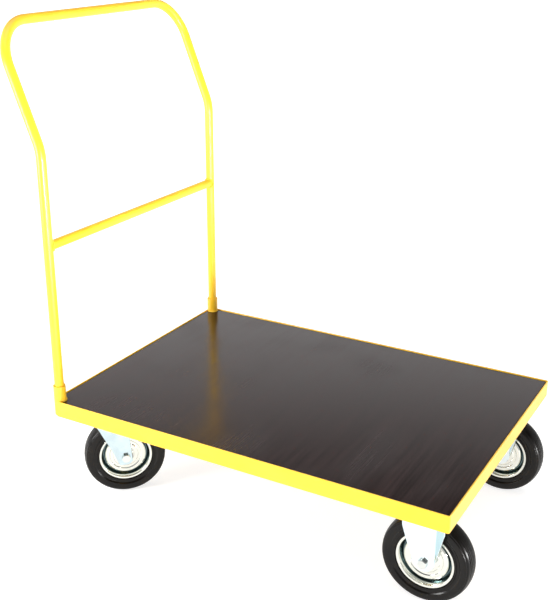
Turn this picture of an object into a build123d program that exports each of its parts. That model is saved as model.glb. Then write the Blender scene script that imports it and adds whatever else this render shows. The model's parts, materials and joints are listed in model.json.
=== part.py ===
"""Platform cart with a plug-in push handle, two rigid casters and two swivel casters.

Millimetres, +Z up, +X from the handle end to the front, +Y to the left of someone who pushes.
The origin lies on the floor, under the middle of the cart's outer box.
"""

from build123d import *
import math
import os

os.makedirs("parts", exist_ok=True)

# ---- driving dimensions ------------------------------------------------------------------
LENGTH = 1000.0          # deck frame, outside
WIDTH = 700.0            # deck frame, outside
RIM_Z = 272.0            # top of the frame's rim above the floor

ANGLE_LEG = 40.0         # frame rails: steel angle 40 x 40 x 3
STEEL = 3.0
FRONT_CORNER_R = 5.0     # outer vertical edge of the welded front corners

BOARD_T = 15.0           # film-faced plywood
BOARD_DROP = 2.0         # board's top below the rim
BOARD_GAP = 1.0          # round the board's edge
BOARD_CHAMFER = 0.6

BEARER = 20.0            # square tube under the board
BEARER_WALL = 2.0
BEARER_SHARES = (0.25, 0.5, 0.75)   # places along the deck
SCREW_SHARES = (-0.42, -0.16, 0.16, 0.42)   # places across the deck
SCREW_R = 2.15
SCREW_HEAD_R = 4.8
SCREW_HEAD_T = 2.6
SCREW_BITE = 11.0        # into the board

TUBE_R = 11.25           # handle tube
TUBE_WALL = 1.75
BEND_R = 95.0            # centre line, top corners
KNEE_R = 110.0           # centre line, where the legs start to lean back
KNEE_UP = 601.0          # above the rim
TOP_UP = 865.0           # top bar's centre line above the rim
HANDLE_LEAN = 90.0       # top bar's centre line behind the frame's rear face
CROSSBAR_UP = 382.0      # above the rim
SADDLE = 6.0             # how far the cross bar's ends wrap round the legs
WELD = 3.0               # width of the weld bead at each end of the cross bar

SOCKET_R = 14.75         # corner socket pipe, tangent to both outer faces
SOCKET_BORE_R = 11.75
SOCKET_UP = 37.0         # above the rim
SOCKET_FLOOR = 3.0
SOCKET_BEAD = 1.5        # weld swelling round the pipe's foot, over the board

CASTER_H = 232.0         # top of the caster's plate above the floor
WHEEL_R = 100.0
CASTER_IN_X = 72.0       # plate's centre from the frame's end
CASTER_IN_Y = 96.0       # plate's centre from the frame's side
TRAIL = 50.0             # swivel axis to axle
REAR_YAW = {"right": 42.5, "left": 31.0}   # swivelled as a cart pushed backwards in a curve

PLATE_X = 135.0
PLATE_Y = 110.0
PLATE_T = 3.5
PLATE_CORNER_R = 8.0
BOLT_X = 105.0           # caster bolt pattern
BOLT_Y = 80.0
BOLT_R = 5.0             # M10
BOLT_HOLE_R = 5.5
BOLT_AF = 16.0
BOLT_HEAD_T = 6.4
NUT_T = 8.0
BOLT_PROUD = 3.0         # thread past the nut
CORNER_PLATE = 135.0     # square plate welded between the rails' lower legs

FORK_T = 3.0             # pressed steel
FORK_IN = 29.0           # half the space between the legs
AXLE_R = 6.0             # M12
AXLE_HOLE_R = 6.3
AXLE_AF = 19.0
AXLE_HEAD_T = 7.5
AXLE_NUT_T = 10.0
SLEEVE_R = 10.0
SLEEVE_BORE_R = 6.1
HUB_R = 17.0
HUB_BORE_R = 14.0
HUB_HALF = 26.0
CAGE_HALF = 23.0
ROLLER_COUNT = 10
ROLLER_HALF = 20.0
RUN_GAP = 0.05           # radial running clearance

CROWN_T = 4.0            # top of the swivel fork
RACE_GAP = 9.5           # between the top plate and the fork's crown
RACE_R = 28.0            # ball circle
RACE_HALF = 6.0          # half the width of a raceway ring
BALL_R = 3.5
BALL_COUNT = 20
KING_R = 6.0
KING_NUT_AF = 22.0
KING_NUT_T = 5.0

# ---- places worked out from them ---------------------------------------------------------
WHEEL_PROUD = WHEEL_R - CASTER_IN_X     # front tyres past the frame's front face
REAR_X = -(LENGTH + WHEEL_PROUD - HANDLE_LEAN - TUBE_R) / 2
FRONT_X = REAR_X + LENGTH
MID_X = (REAR_X + FRONT_X) / 2
SIDE_Y = WIDTH / 2
FRAME_Z = RIM_Z - ANGLE_LEG
SHELF_Z = FRAME_Z + STEEL
BOARD_TOP = RIM_Z - BOARD_DROP
BOARD_Z = BOARD_TOP - BOARD_T
SOCKET_X = REAR_X + SOCKET_R
SOCKET_Y = SIDE_Y - SOCKET_R
AXLE_DROP = CASTER_H - WHEEL_R     # axle below the caster's top
SIDES = {"right": -1, "left": 1}
CASTER_X = {"front": FRONT_X - CASTER_IN_X, "rear": REAR_X + CASTER_IN_X}
CASTER_Y = {side: sign * (SIDE_Y - CASTER_IN_Y) for side, sign in SIDES.items()}


def save(shape, node):
    """Write one sub-part."""
    export_step(shape, f"parts/{node}.step")


def group(solids):
    """Several separate solids as one node."""
    return Compound(children=list(solids))


def rod(radius, low, high, x=0.0, y=0.0):
    """Upright cylinder from z = low to z = high."""
    return Pos(x, y, (low + high) / 2) * Cylinder(radius, high - low)


def pipe(radius, bore, low, high, x=0.0, y=0.0):
    """Upright tube."""
    return rod(radius, low, high, x, y) - rod(bore, low - 1, high + 1, x, y)


def cross_rod(radius, low, high, x=0.0, z=0.0):
    """Cylinder along Y from y = low to y = high."""
    return Pos(x, (low + high) / 2, z) * Rot(90, 0, 0) * Cylinder(radius, high - low)


def cross_pipe(radius, bore, low, high, x=0.0, z=0.0):
    """Tube along Y."""
    return cross_rod(radius, low, high, x, z) - cross_rod(bore, low - 1, high + 1, x, z)


def hexagon(flats, low, high, x=0.0, y=0.0):
    """Upright hexagonal prism, its corners taken off by a cone as on a nut."""
    prism = extrude(RegularPolygon(flats / 2, 6, major_radius=False), high - low)
    chamfer_h = 0.09 * flats
    corner_r = flats / math.sqrt(3) + 0.2
    body = Pos(0, 0, (high - low - chamfer_h) / 2) * Cylinder(corner_r, high - low - chamfer_h)
    cone = Pos(0, 0, high - low - chamfer_h / 2) * Cone(corner_r, 0.475 * flats, chamfer_h)
    return Pos(x, y, low) * (prism & (body + cone))


def block(x_range, y_range, z_range):
    """Box between two corners."""
    size = [high - low for low, high in (x_range, y_range, z_range)]
    centre = [(high + low) / 2 for low, high in (x_range, y_range, z_range)]
    return Pos(*centre) * Box(*size)


def footprint(inset, front_r):
    """Deck outline, set in on all sides, with rounded front corners."""
    face = Pos(MID_X, 0) * Rectangle(LENGTH - 2 * inset, WIDTH - 2 * inset)
    if front_r == 0:
        return face
    return fillet(face.vertices().group_by(Axis.X)[-1], front_r)


def sheet_outline(points, thickness):
    """Closed outline of bent sheet metal whose middle follows the points, with mitred bends."""
    normals = []
    for (x0, y0), (x1, y1) in zip(points, points[1:]):
        run = math.hypot(x1 - x0, y1 - y0)
        normals.append(((y0 - y1) / run, (x1 - x0) / run))
    before = [normals[0]] + normals
    after = normals + [normals[-1]]
    left, right = [], []
    for (x, y), (ax, ay), (bx, by) in zip(points, before, after):
        reach = thickness / 2 / (1 + ax * bx + ay * by)
        left.append((x + (ax + bx) * reach, y + (ay + by) * reach))
        right.append((x - (ax + bx) * reach, y - (ay + by) * reach))
    return left + right[::-1]


# ---- deck frame --------------------------------------------------------------------------
def deck_frame():
    """Four mitred angle rails and the two socket pipes at the handle end."""
    wall = footprint(0, FRONT_CORNER_R) - footprint(STEEL, FRONT_CORNER_R - 1)
    shelf = footprint(0, FRONT_CORNER_R) - footprint(ANGLE_LEG, 0)
    ring = Pos(0, 0, FRAME_Z) * (extrude(wall, ANGLE_LEG) + extrude(shelf, STEEL))
    for sign in SIDES.values():
        corner_x = (REAR_X - 1, SOCKET_X)
        corner_y = sorted((sign * (SIDE_Y + 1), sign * SOCKET_Y))
        ring -= block(corner_x, corner_y, (FRAME_Z - 1, RIM_Z + 1))
        ring -= rod(SOCKET_R, FRAME_Z - 1, RIM_Z + 1, SOCKET_X, sign * SOCKET_Y)
        for place in CASTER_X:
            for x, y in bolt_places(place, "left" if sign > 0 else "right"):
                ring -= rod(BOLT_HOLE_R, FRAME_Z - 1, SHELF_Z + 1, x, y)
    half = SIDE_Y
    wedges = {
        "frame_rail_rear": [(REAR_X, -half), (REAR_X, half), (REAR_X + half, 0)],
        "frame_rail_front": [(FRONT_X, -half), (FRONT_X, half), (FRONT_X - half, 0)],
        "frame_rail_right": [(REAR_X, -half), (FRONT_X, -half), (FRONT_X - half, 0), (REAR_X + half, 0)],
        "frame_rail_left": [(REAR_X, half), (FRONT_X, half), (FRONT_X - half, 0), (REAR_X + half, 0)],
    }
    for node, corners in wedges.items():
        wedge = Pos(0, 0, FRAME_Z) * extrude(make_face(Polyline(*corners, close=True)), ANGLE_LEG)
        save(ring & wedge, node)
    for side, sign in SIDES.items():
        save(socket(SOCKET_X, sign * SOCKET_Y), f"handle_socket_{side}")


def socket(x, y):
    """Pipe with a closed foot, a rounded lip and a weld swelling where it leaves the board."""
    tube = rod(SOCKET_R, FRAME_Z, RIM_Z + SOCKET_UP, x, y)
    tube -= rod(SOCKET_BORE_R, FRAME_Z + SOCKET_FLOOR, RIM_Z + SOCKET_UP + 1, x, y)
    lip = tube.edges().filter_by(GeomType.CIRCLE).group_by(Axis.Z)[-1]
    tube = fillet(lip, 0.9)
    bead = Pos(x, y, BOARD_TOP + 2 * SOCKET_BEAD) * Torus(SOCKET_R, SOCKET_BEAD)
    inward_x = (x, x + 2 * SOCKET_R)
    inward_y = sorted((y, y - math.copysign(2 * SOCKET_R, y)))
    quarter = block(inward_x, inward_y, (BOARD_TOP, RIM_Z + SOCKET_R))
    return tube + ((bead & quarter) - rod(SOCKET_R - 0.5, FRAME_Z, RIM_Z + SOCKET_UP, x, y))


def deck():
    """Board, the bearers that carry it, and the screws that hold it from below."""
    inset = STEEL + BOARD_GAP
    board = Pos(0, 0, BOARD_Z) * extrude(footprint(inset, FRONT_CORNER_R - 1), BOARD_T)
    board = chamfer(board.faces().sort_by(Axis.Z)[-1].edges(), BOARD_CHAMFER)
    for sign in SIDES.values():
        notch_r = SOCKET_R + SOCKET_BEAD
        board -= rod(notch_r, BOARD_Z - 1, BOARD_TOP + 1, SOCKET_X, sign * SOCKET_Y)
    screws = []
    reach = SIDE_Y - STEEL - BOARD_GAP
    names = ("rear", "middle", "front")
    for name, share in zip(names, BEARER_SHARES):
        x = REAR_X + share * LENGTH
        outer = block((x - BEARER / 2, x + BEARER / 2), (-reach, reach), (SHELF_Z, SHELF_Z + BEARER))
        outer = fillet(outer.edges().filter_by(Axis.Y), 2.5)
        half_bore = BEARER / 2 - BEARER_WALL
        mid_z = SHELF_Z + BEARER / 2
        bore = block(
            (x - half_bore, x + half_bore),
            (-SIDE_Y, SIDE_Y),
            (mid_z - half_bore, mid_z + half_bore),
        )
        bearer = outer - bore
        for across in SCREW_SHARES:
            y = across * WIDTH
            hole = rod(SCREW_R + RUN_GAP, SHELF_Z - 1, BOARD_Z + SCREW_BITE, x, y)
            bearer -= hole
            board -= hole
            shank = rod(SCREW_R, SHELF_Z, BOARD_Z + SCREW_BITE - 1, x, y)
            head = rod(SCREW_HEAD_R, SHELF_Z - SCREW_HEAD_T, SHELF_Z, x, y)
            head = fillet(head.edges().filter_by(GeomType.CIRCLE).sort_by(Axis.Z)[0], 1.6)
            screws.append(head + shank)
        save(bearer, f"cross_bearer_{name}")
    save(board, "deck_board")
    save(group(screws), "deck_screws")


# ---- handle ------------------------------------------------------------------------------
def handle():
    """One bent tube and the bar welded between its legs."""
    foot_z = FRAME_Z + SOCKET_FLOOR
    knee_z = RIM_Z + KNEE_UP
    top_z = RIM_Z + TOP_UP
    top_x = REAR_X - HANDLE_LEAN
    side = [(SOCKET_X, foot_z), (SOCKET_X, knee_z), (top_x, top_z)]
    route = [(x, -SOCKET_Y, z) for x, z in side] + [(x, SOCKET_Y, z) for x, z in side[::-1]]
    path = FilletPolyline(*route, radius=[KNEE_R, BEND_R, BEND_R, KNEE_R])
    start = Plane(origin=route[0], z_dir=(0, 0, 1))
    outer = sweep(start * Circle(TUBE_R), path=path)
    bore = sweep(start * Circle(TUBE_R - TUBE_WALL), path=path)
    save(outer - bore, "handle_tube")

    bar_z = RIM_Z + CROSSBAR_UP
    reach = SOCKET_Y - TUBE_R + SADDLE
    bar = cross_rod(TUBE_R, -reach, reach, SOCKET_X, bar_z)
    for sign in SIDES.values():
        bead_y = sign * (reach - WELD)
        flare = Pos(SOCKET_X, bead_y, bar_z) * Rot(-90 * sign, 0, 0)
        bar += flare * Cone(TUBE_R, TUBE_R + WELD / 2, 2 * WELD)
    bar -= cross_rod(TUBE_R - TUBE_WALL, -SIDE_Y, SIDE_Y, SOCKET_X, bar_z)
    for sign in SIDES.values():
        bar -= rod(TUBE_R, bar_z - 4 * TUBE_R, bar_z + 4 * TUBE_R, SOCKET_X, sign * SOCKET_Y)
    save(bar, "handle_crossbar")


# ---- casters -----------------------------------------------------------------------------
# Each caster is drawn with its plate's top at z = 0, its plate's centre at x = y = 0,
# its wheel rolling along X and its right-hand side towards -Y.
def bolt_places(place, side):
    """The four bolt axes of one caster, in the cart's frame."""
    return [
        (CASTER_X[place] + sx * BOLT_X / 2, CASTER_Y[side] + sy * BOLT_Y / 2)
        for sx in (-1, 1)
        for sy in (-1, 1)
    ]


def top_plate():
    """Rectangular plate with rounded corners and four bolt holes."""
    face = RectangleRounded(PLATE_X, PLATE_Y, PLATE_CORNER_R)
    face -= GridLocations(BOLT_X, BOLT_Y, 2, 2) * Circle(BOLT_HOLE_R)
    return Pos(0, 0, -PLATE_T) * extrude(face, PLATE_T)


def leg_pair(section, silhouette, axle_x):
    """Two mirrored fork legs: a bent section drawn upright, trimmed to a side outline.

    The section is the middle line of the right-hand leg as seen from above; the silhouette
    is seen from the side. Both are taken from the axle: x along the roll, z up from the axle.
    """
    bent = make_face(Polyline(*sheet_outline(section, FORK_T), close=True))
    ends = (section[0][0], section[-1][0])
    bends = [v for v in bent.vertices() if min(abs(v.X - end) for end in ends) > FORK_T]
    bent = fillet(bends, 2.2)
    leg = Pos(axle_x, 0, -CASTER_H) * extrude(bent, CASTER_H)
    outline = Plane.XZ * make_face(silhouette)
    trim = Pos(axle_x, 0, -AXLE_DROP) * extrude(outline, PLATE_X, both=True)
    leg = leg & trim
    leg -= cross_rod(AXLE_HOLE_R, -PLATE_Y, 0, axle_x, -AXLE_DROP)
    return leg + mirror(leg, Plane.XZ)


def rigid_fork():
    """Plate and two legs in one pressing, with stiffening wings turned outwards."""
    fold_x = 25.0
    wing = 26.0
    turn = math.radians(30)
    mid_y = -(FORK_IN + FORK_T / 2)
    tip = (fold_x + wing * math.cos(turn), mid_y - wing * math.sin(turn))
    section = [(-tip[0], tip[1]), (-fold_x, mid_y), (fold_x, mid_y), tip]
    top = AXLE_DROP - PLATE_T / 2
    half = [(38, top), (38, 119), (46, 100), (45.4, 85), (37, 50), (29, 22), (25.5, 4)]
    foot = [(19.5, -13), (10, -19)]
    right_edge = half + foot
    left_edge = [(-x, z) for x, z in right_edge[::-1]]
    legs = leg_pair(section, Polyline(*right_edge, *left_edge, close=True), 0.0)
    return top_plate() + legs


def swivel_top():
    """Swivel caster's fixed plate with its raceway ring and dust skirt."""
    low = -PLATE_T - RACE_GAP
    ring = pipe(RACE_R + RACE_HALF, RACE_R - RACE_HALF, -PLATE_T - 1.1, -PLATE_T)
    skirt = pipe(RACE_R + RACE_HALF + 3.5, RACE_R + RACE_HALF + 2, low + 1.2, -PLATE_T)
    return top_plate() + ring + skirt - rod(KING_R, -PLATE_T - 1, 1)


def swivel_fork():
    """Crown with a raceway ring, and two legs that reach forward to the axle."""
    crown_top = -PLATE_T - RACE_GAP
    turn = math.radians(9)
    wing = 56.0
    fold_x = -20.0
    mid_y = -(FORK_IN + FORK_T / 2)
    tip = (fold_x - wing * math.cos(turn), mid_y - wing * math.sin(turn))
    section = [tip, (fold_x, mid_y), (16.5, mid_y)]
    top = AXLE_DROP + crown_top - CROWN_T / 2
    front_edge = [(10, top), (10.6, 52), (12.6, 29), (15.6, -10), (12.5, -17), (7, -19.5)]
    rear_edge = [(-13, -19.5), (-18, -15), (-28.5, 12.5), (-39.5, 36.5), (-50.5, 59), (-62, 85)]
    rear_edge += [(-72, 106), (-72, top)]
    legs = leg_pair(section, Polyline(*front_edge, *rear_edge, close=True), TRAIL)
    rim_y = FORK_IN + FORK_T
    wide_y = -tip[1]
    corners = [(TRAIL + 10, -rim_y), (TRAIL + 10, rim_y), (TRAIL + fold_x, rim_y), (TRAIL - 72, wide_y)]
    corners += [(TRAIL - 72, -wide_y), (TRAIL + fold_x, -rim_y)]
    face = make_face(Polyline(*corners, close=True))
    ends = face.vertices().group_by(Axis.X)
    face = fillet(ends[0] + ends[-1], 6)
    crown = Pos(0, 0, crown_top - CROWN_T) * extrude(face, CROWN_T)
    ring = pipe(RACE_R + RACE_HALF, RACE_R - RACE_HALF, crown_top, crown_top + 0.8)
    return crown + legs + ring - rod(KING_R + RUN_GAP, crown_top - 2 * CROWN_T, crown_top + 2)


def balls():
    """One ring of steel balls between the two raceways."""
    mid_z = -PLATE_T - (RACE_GAP + 1.1 - 0.8) / 2
    return group(
        Pos(RACE_R * math.cos(a), RACE_R * math.sin(a), mid_z) * Sphere(BALL_R)
        for a in (2 * math.pi * i / BALL_COUNT for i in range(BALL_COUNT))
    )


def king_pin():
    """Rivet through the plate, with a nut below the crown."""
    nut_top = -PLATE_T - RACE_GAP - CROWN_T - 0.4
    nut = hexagon(KING_NUT_AF, nut_top - KING_NUT_T, nut_top)
    return rod(KING_R, nut_top - KING_NUT_T - 2, 0) + nut


def axle_bolt(x, outer=FORK_IN + FORK_T):
    """Hexagon bolt across the fork, its head on the right-hand side."""
    shank = cross_rod(AXLE_R, -outer, outer + AXLE_NUT_T + 2.5, x, -AXLE_DROP)
    head = Pos(x, -outer, -AXLE_DROP) * Rot(90, 0, 0) * hexagon(AXLE_AF, 0, AXLE_HEAD_T)
    return shank + head


def axle_nut(x, outer=FORK_IN + FORK_T):
    """Nut on the bolt's left-hand end."""
    nut = hexagon(AXLE_AF, 0, AXLE_NUT_T) - rod(AXLE_R, -1, AXLE_NUT_T + 1)
    return Pos(x, outer, -AXLE_DROP) * Rot(-90, 0, 0) * nut


def axle_sleeve(x):
    """Steel sleeve clamped between the legs; the rollers run on it."""
    return cross_pipe(SLEEVE_R, SLEEVE_BORE_R, -FORK_IN, FORK_IN, x, -AXLE_DROP)


def turned(outline, x):
    """Solid of revolution about the axle: outline points are (radius, distance to the side)."""
    face = make_face(Polyline(*[(r, 0, a) for r, a in outline], close=True))
    ring = revolve(face, Axis.Z)
    return Pos(x, 0, -AXLE_DROP) * Rot(-90, 0, 0) * ring


def rim_disc(x, sign):
    """One of the two pressed discs: collar, dished face, groove and rolled lip."""
    sheet = 1.6
    middle = [
        (HUB_R + sheet / 2, 25.0),
        (HUB_R + sheet / 2, 18.6),
        (21.5, 16.2),
        (33.0, 15.8),
        (35.5, 14.4),
        (47.2, 14.0),
        (50.4, 11.6),
        (53.0, 1.2),
        (56.8, 1.2),
        (59.4, 4.5),
        (60.2, 18.4),
        (61.4, 20.6),
        (63.7, 20.6),
    ]
    return turned([(r, sign * a) for r, a in sheet_outline(middle, sheet)], x)


def tyre(x):
    """Solid rubber ring seated between the two lips."""
    half = [
        (61.2, 17.4),
        (62.8, 19.4),
        (64.6, 19.6),
        (66.0, 21.4),
        (71.0, 22.8),
        (80.0, 24.8),
        (88.0, 25.0),
        (93.5, 23.6),
        (97.0, 20.4),
        (99.2, 15.0),
        (WHEEL_R, 8.0),
    ]
    outline = half + [(r, -a) for r, a in half[::-1]]
    return turned(outline, x)


def hub(x):
    """Steel tube that joins the two discs and holds the rollers."""
    return cross_pipe(HUB_R - RUN_GAP, HUB_BORE_R, -HUB_HALF, HUB_HALF, x, -AXLE_DROP)


def roller_bearing(x):
    """Cage and its rollers."""
    pitch_r = (SLEEVE_R + HUB_BORE_R) / 2
    roller_r = (HUB_BORE_R - SLEEVE_R) / 2 - RUN_GAP
    cage = cross_pipe(pitch_r + 1.4, pitch_r - 1.4, -CAGE_HALF, CAGE_HALF, x, -AXLE_DROP)
    rollers = []
    for i in range(ROLLER_COUNT):
        angle = 2 * math.pi * i / ROLLER_COUNT
        rx = x + pitch_r * math.cos(angle)
        rz = -AXLE_DROP + pitch_r * math.sin(angle)
        cage -= cross_rod(roller_r + RUN_GAP, -ROLLER_HALF - 0.1, ROLLER_HALF + 0.1, rx, rz)
        rollers.append(cross_rod(roller_r, -ROLLER_HALF, ROLLER_HALF, rx, rz))
    return group([cage] + rollers)


def wheel(tag, seat, x):
    """The pieces that turn about one axle."""
    save(seat * tyre(x), f"{tag}_tyre")
    save(seat * rim_disc(x, -1), f"{tag}_rim_disc_right")
    save(seat * rim_disc(x, 1), f"{tag}_rim_disc_left")
    save(seat * hub(x), f"{tag}_hub")
    save(seat * roller_bearing(x), f"{tag}_roller_bearing")


def casters():
    """Two rigid casters at the front, two swivel casters under the handle."""
    bolts, nuts, plates = [], [], {}
    front_seats = []
    for side in SIDES:
        for place in CASTER_X:
            plates[f"corner_plate_{place}_{side}"] = corner_plate(place, side)
            for x, y in bolt_places(place, side):
                head_top = CASTER_H - PLATE_T
                head = Pos(x, y, head_top) * Rot(180, 0, 0) * hexagon(BOLT_AF, 0, BOLT_HEAD_T)
                bolts.append(head + rod(BOLT_R, head_top, SHELF_Z + NUT_T + BOLT_PROUD, x, y))
                nut = hexagon(BOLT_AF, SHELF_Z, SHELF_Z + NUT_T, x, y)
                nuts.append(nut - rod(BOLT_R, FRAME_Z, SHELF_Z + BEARER, x, y))
        seat = Pos(CASTER_X["front"], CASTER_Y[side], CASTER_H)
        front_seats.append(seat)
        save(seat * rigid_fork(), f"front_{side}_fork")
        wheel(f"front_{side}", seat, 0.0)

        plate_seat = Pos(CASTER_X["rear"], CASTER_Y[side], CASTER_H)
        seat = plate_seat * Rot(0, 0, REAR_YAW[side])
        tag = f"rear_{side}"
        save(plate_seat * swivel_top(), f"{tag}_top_plate")
        save(plate_seat * king_pin(), f"{tag}_king_pin")
        save(plate_seat * balls(), f"{tag}_race_balls")
        save(seat * swivel_fork(), f"{tag}_fork")
        save(seat * axle_bolt(TRAIL), f"{tag}_axle_bolt")
        save(seat * axle_nut(TRAIL), f"{tag}_axle_nut")
        save(seat * axle_sleeve(TRAIL), f"{tag}_axle_sleeve")
        wheel(tag, seat, TRAIL)
    save(group(seat * axle_bolt(0.0) for seat in front_seats), "front_axle_bolts")
    save(group(seat * axle_nut(0.0) for seat in front_seats), "front_axle_nuts")
    save(group(seat * axle_sleeve(0.0) for seat in front_seats), "front_axle_sleeves")
    save(group(bolts), "caster_bolts")
    save(group(nuts), "caster_nuts")
    for node, plate in plates.items():
        save(plate, node)


def corner_plate(place, side):
    """Square plate in a corner, edge to edge with the rails' lower legs."""
    toe_x = FRONT_X - ANGLE_LEG if place == "front" else REAR_X + ANGLE_LEG
    far_x = toe_x - CORNER_PLATE if place == "front" else toe_x + CORNER_PLATE
    toe_y = SIDES[side] * (SIDE_Y - ANGLE_LEG)
    far_y = toe_y - SIDES[side] * CORNER_PLATE
    plate = block(sorted((toe_x, far_x)), sorted((toe_y, far_y)), (FRAME_Z, SHELF_Z))
    for x, y in bolt_places(place, side):
        plate -= rod(BOLT_HOLE_R, FRAME_Z - 1, SHELF_Z + 1, x, y)
    inner = plate.edges().filter_by(Axis.Z).sort_by_distance((far_x, far_y, FRAME_Z))[0]
    return fillet(inner, 25)


deck_frame()
deck()
handle()
casters()
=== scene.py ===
"""Platform cart with a plug-in handle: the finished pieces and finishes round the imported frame.

Every shape is a grid of points worked out in millimetres in a small frame of its own (a Seat),
and is then placed in metres in the cart's frame: +X to the front, +Y to the left, +Z up.
"""

import json
import math
from functools import partial

import bmesh
import bpy
import numpy as np
from mathutils import Matrix, Vector

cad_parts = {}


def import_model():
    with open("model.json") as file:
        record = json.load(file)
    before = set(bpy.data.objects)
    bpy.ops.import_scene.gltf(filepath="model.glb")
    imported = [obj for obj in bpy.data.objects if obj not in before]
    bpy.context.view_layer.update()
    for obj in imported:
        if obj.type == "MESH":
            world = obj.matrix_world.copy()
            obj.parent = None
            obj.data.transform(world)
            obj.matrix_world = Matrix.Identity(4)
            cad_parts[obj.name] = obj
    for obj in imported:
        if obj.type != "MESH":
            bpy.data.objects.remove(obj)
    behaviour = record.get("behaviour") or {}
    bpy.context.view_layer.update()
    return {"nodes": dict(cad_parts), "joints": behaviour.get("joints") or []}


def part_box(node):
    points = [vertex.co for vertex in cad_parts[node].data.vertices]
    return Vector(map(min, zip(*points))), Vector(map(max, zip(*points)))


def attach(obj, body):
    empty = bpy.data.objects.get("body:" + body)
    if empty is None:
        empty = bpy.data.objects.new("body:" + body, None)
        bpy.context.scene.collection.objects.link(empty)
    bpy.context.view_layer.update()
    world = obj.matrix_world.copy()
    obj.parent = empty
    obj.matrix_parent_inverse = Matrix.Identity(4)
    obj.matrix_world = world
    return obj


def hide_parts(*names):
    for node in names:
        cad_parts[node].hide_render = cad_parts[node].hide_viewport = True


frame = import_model()

MM = 0.001

# ---- sizes of the real pieces, in millimetres
TUBE_R = 11.25
TUBE_WALL = 1.75
BEND_R = 95.0            # handle's top corners, centre line
KNEE_R = 110.0           # where the legs start to lean back
KNEE_DROP = 264.0        # from the top bar's centre line down to the knees
CROSSBAR_DROP = 483.0    # from the top bar's centre line down to the cross bar
SADDLE = 6.0             # how far the cross bar's ends wrap round the legs
WELD_RISE = 1.0          # how far a weld's middle stands off the tubes it joins
SOCKET_R = 14.75
SOCKET_BORE_R = 11.75
SOCKET_FLOOR = 3.0
MOUTH_WIDER, MOUTH_DEPTH = 1.6, 4.0  # the countersink that guides a leg in
RAIL_LEG = 40.0
STEEL = 3.0
FRONT_CORNER_R = 5.0
BOARD_GAP = 2.0
NOTCH_GAP = 1.5          # between a socket pipe and the board
SLAB_MARGIN = 30.0       # deeper than any notch in a plate's edge
PLATE_INNER_R = 25.0     # a corner plate's one free corner
BEARER_WALL, BEARER_R = 2.0, 2.5
WHEEL_R = 100.0
PLATE_X, PLATE_Y, PLATE_T = 135.0, 110.0, 3.5
BOLT_X, BOLT_Y = 105.0, 80.0
AXLE_DROP = 132.0        # axle below the top of the caster's plate
RACE_GAP = 9.5           # between a swivel caster's plate and its crown
FORK_MID = 30.5          # middle of a fork leg's metal from the wheel's middle
FORK_T = 3.0
RIGID_FLAT = 25.0        # half the width of a rigid leg's flat, where it folds back
RIGID_WING = math.radians(30)
SWIVEL_FOLD_X = -20.0    # fold along a swivel leg, behind the axle
SWIVEL_SPREAD = math.radians(9)
SHOULDER_R = 9.0
SCREW_SHARES = (-0.42, -0.16, 0.16, 0.42)
SCREW_HEAD_R, SCREW_HEAD_H = 4.8, 2.6
SCREW_R, SCREW_LENGTH = 2.15, 30.0
RECESS_HALF, RECESS_REACH, RECESS_DEPTH = 0.75, 2.7, 1.5
M10 = {"flats": 16.0, "head": 6.4, "nut": 8.0, "radius": 5.0, "pitch": 1.5}
M12 = {"flats": 19.0, "head": 7.5, "nut": 10.0, "radius": 6.0, "pitch": 1.75}
GROOVES = (2.6, 8.4, 14.2)           # tread grooves, from the middle
GROOVE_HALF, GROOVE_DEPTH = 1.25, 2.2
TREAD_HALF, CROWN_DROP = 19.4, 3.0
DISC_T = 1.6
HUB_BORE_R, HUB_R, HUB_HALF = 14.0, 16.95, 26.0


# ---- places
def span(node):
    """Lowest and highest corners of a CAD node, in millimetres."""
    low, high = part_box(node)
    return np.array(low) / MM, np.array(high) / MM


REAR_X = span("frame_rail_rear")[0][0]
FRONT_X = span("frame_rail_front")[1][0]
SIDE_Y = span("frame_rail_left")[1][1]
FRAME_Z = span("frame_rail_left")[0][2]
RIM_Z = span("frame_rail_left")[1][2]
SHELF_Z = FRAME_Z + STEEL
BOARD_Z, BOARD_TOP = (corner[2] for corner in span("deck_board"))
SOCKET_X = REAR_X + SOCKET_R
SOCKET_Y = SIDE_Y - SOCKET_R
SOCKET_TOP = span("handle_socket_left")[1][2]
TUBE_FOOT = span("handle_tube")[0][2]
BAR_X = span("handle_tube")[0][0] + TUBE_R
BAR_Z = span("handle_tube")[1][2] - TUBE_R
SIDES = {"right": -1, "left": 1}
JOINTS = {joint["name"]: joint for joint in frame["joints"]}


class Seat:
    """A place in the cart: an origin in millimetres and forward, side and up directions."""

    def __init__(self, origin, forward=(1, 0, 0), side=(0, 1, 0)):
        self.origin = np.array(origin, float)
        self.forward = np.array(forward, float)
        self.side = np.array(side, float)
        self.up = np.cross(self.forward, self.side)

    def __call__(self, x, y, z):
        """Points in the cart's frame, in metres, of local x, y, z arrays in millimetres."""
        x, y, z = np.broadcast_arrays(x, y, z)
        local = x[..., None] * self.forward + y[..., None] * self.side + z[..., None] * self.up
        return (self.origin + local) * MM

    def moved(self, x, y, z):
        """The same directions at another place, given in this seat's own directions."""
        return Seat(self(x, y, z) / MM, self.forward, self.side)

    def rolled(self, degrees):
        """The same seat turned about its side axis."""
        ahead, up = math.cos(math.radians(degrees)), math.sin(math.radians(degrees))
        return Seat(self.origin, ahead * self.forward + up * self.up, self.side)

    def turned_up(self):
        """A seat whose side axis is this seat's up axis, for shapes spun about a vertical."""
        return Seat(self.origin, self.forward, self.up)


GROUND = Seat((0, 0, 0))


def axle_seat(tag):
    """Middle of a wheel: side along its axle, forward along its roll."""
    joint = JOINTS[f"{tag}_spin"]
    axle = np.array(joint["axis"], float)
    axle /= np.linalg.norm(axle)
    return Seat(np.array(joint["pos_m"]) / MM, np.cross(axle, (0, 0, 1)), axle)


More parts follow.
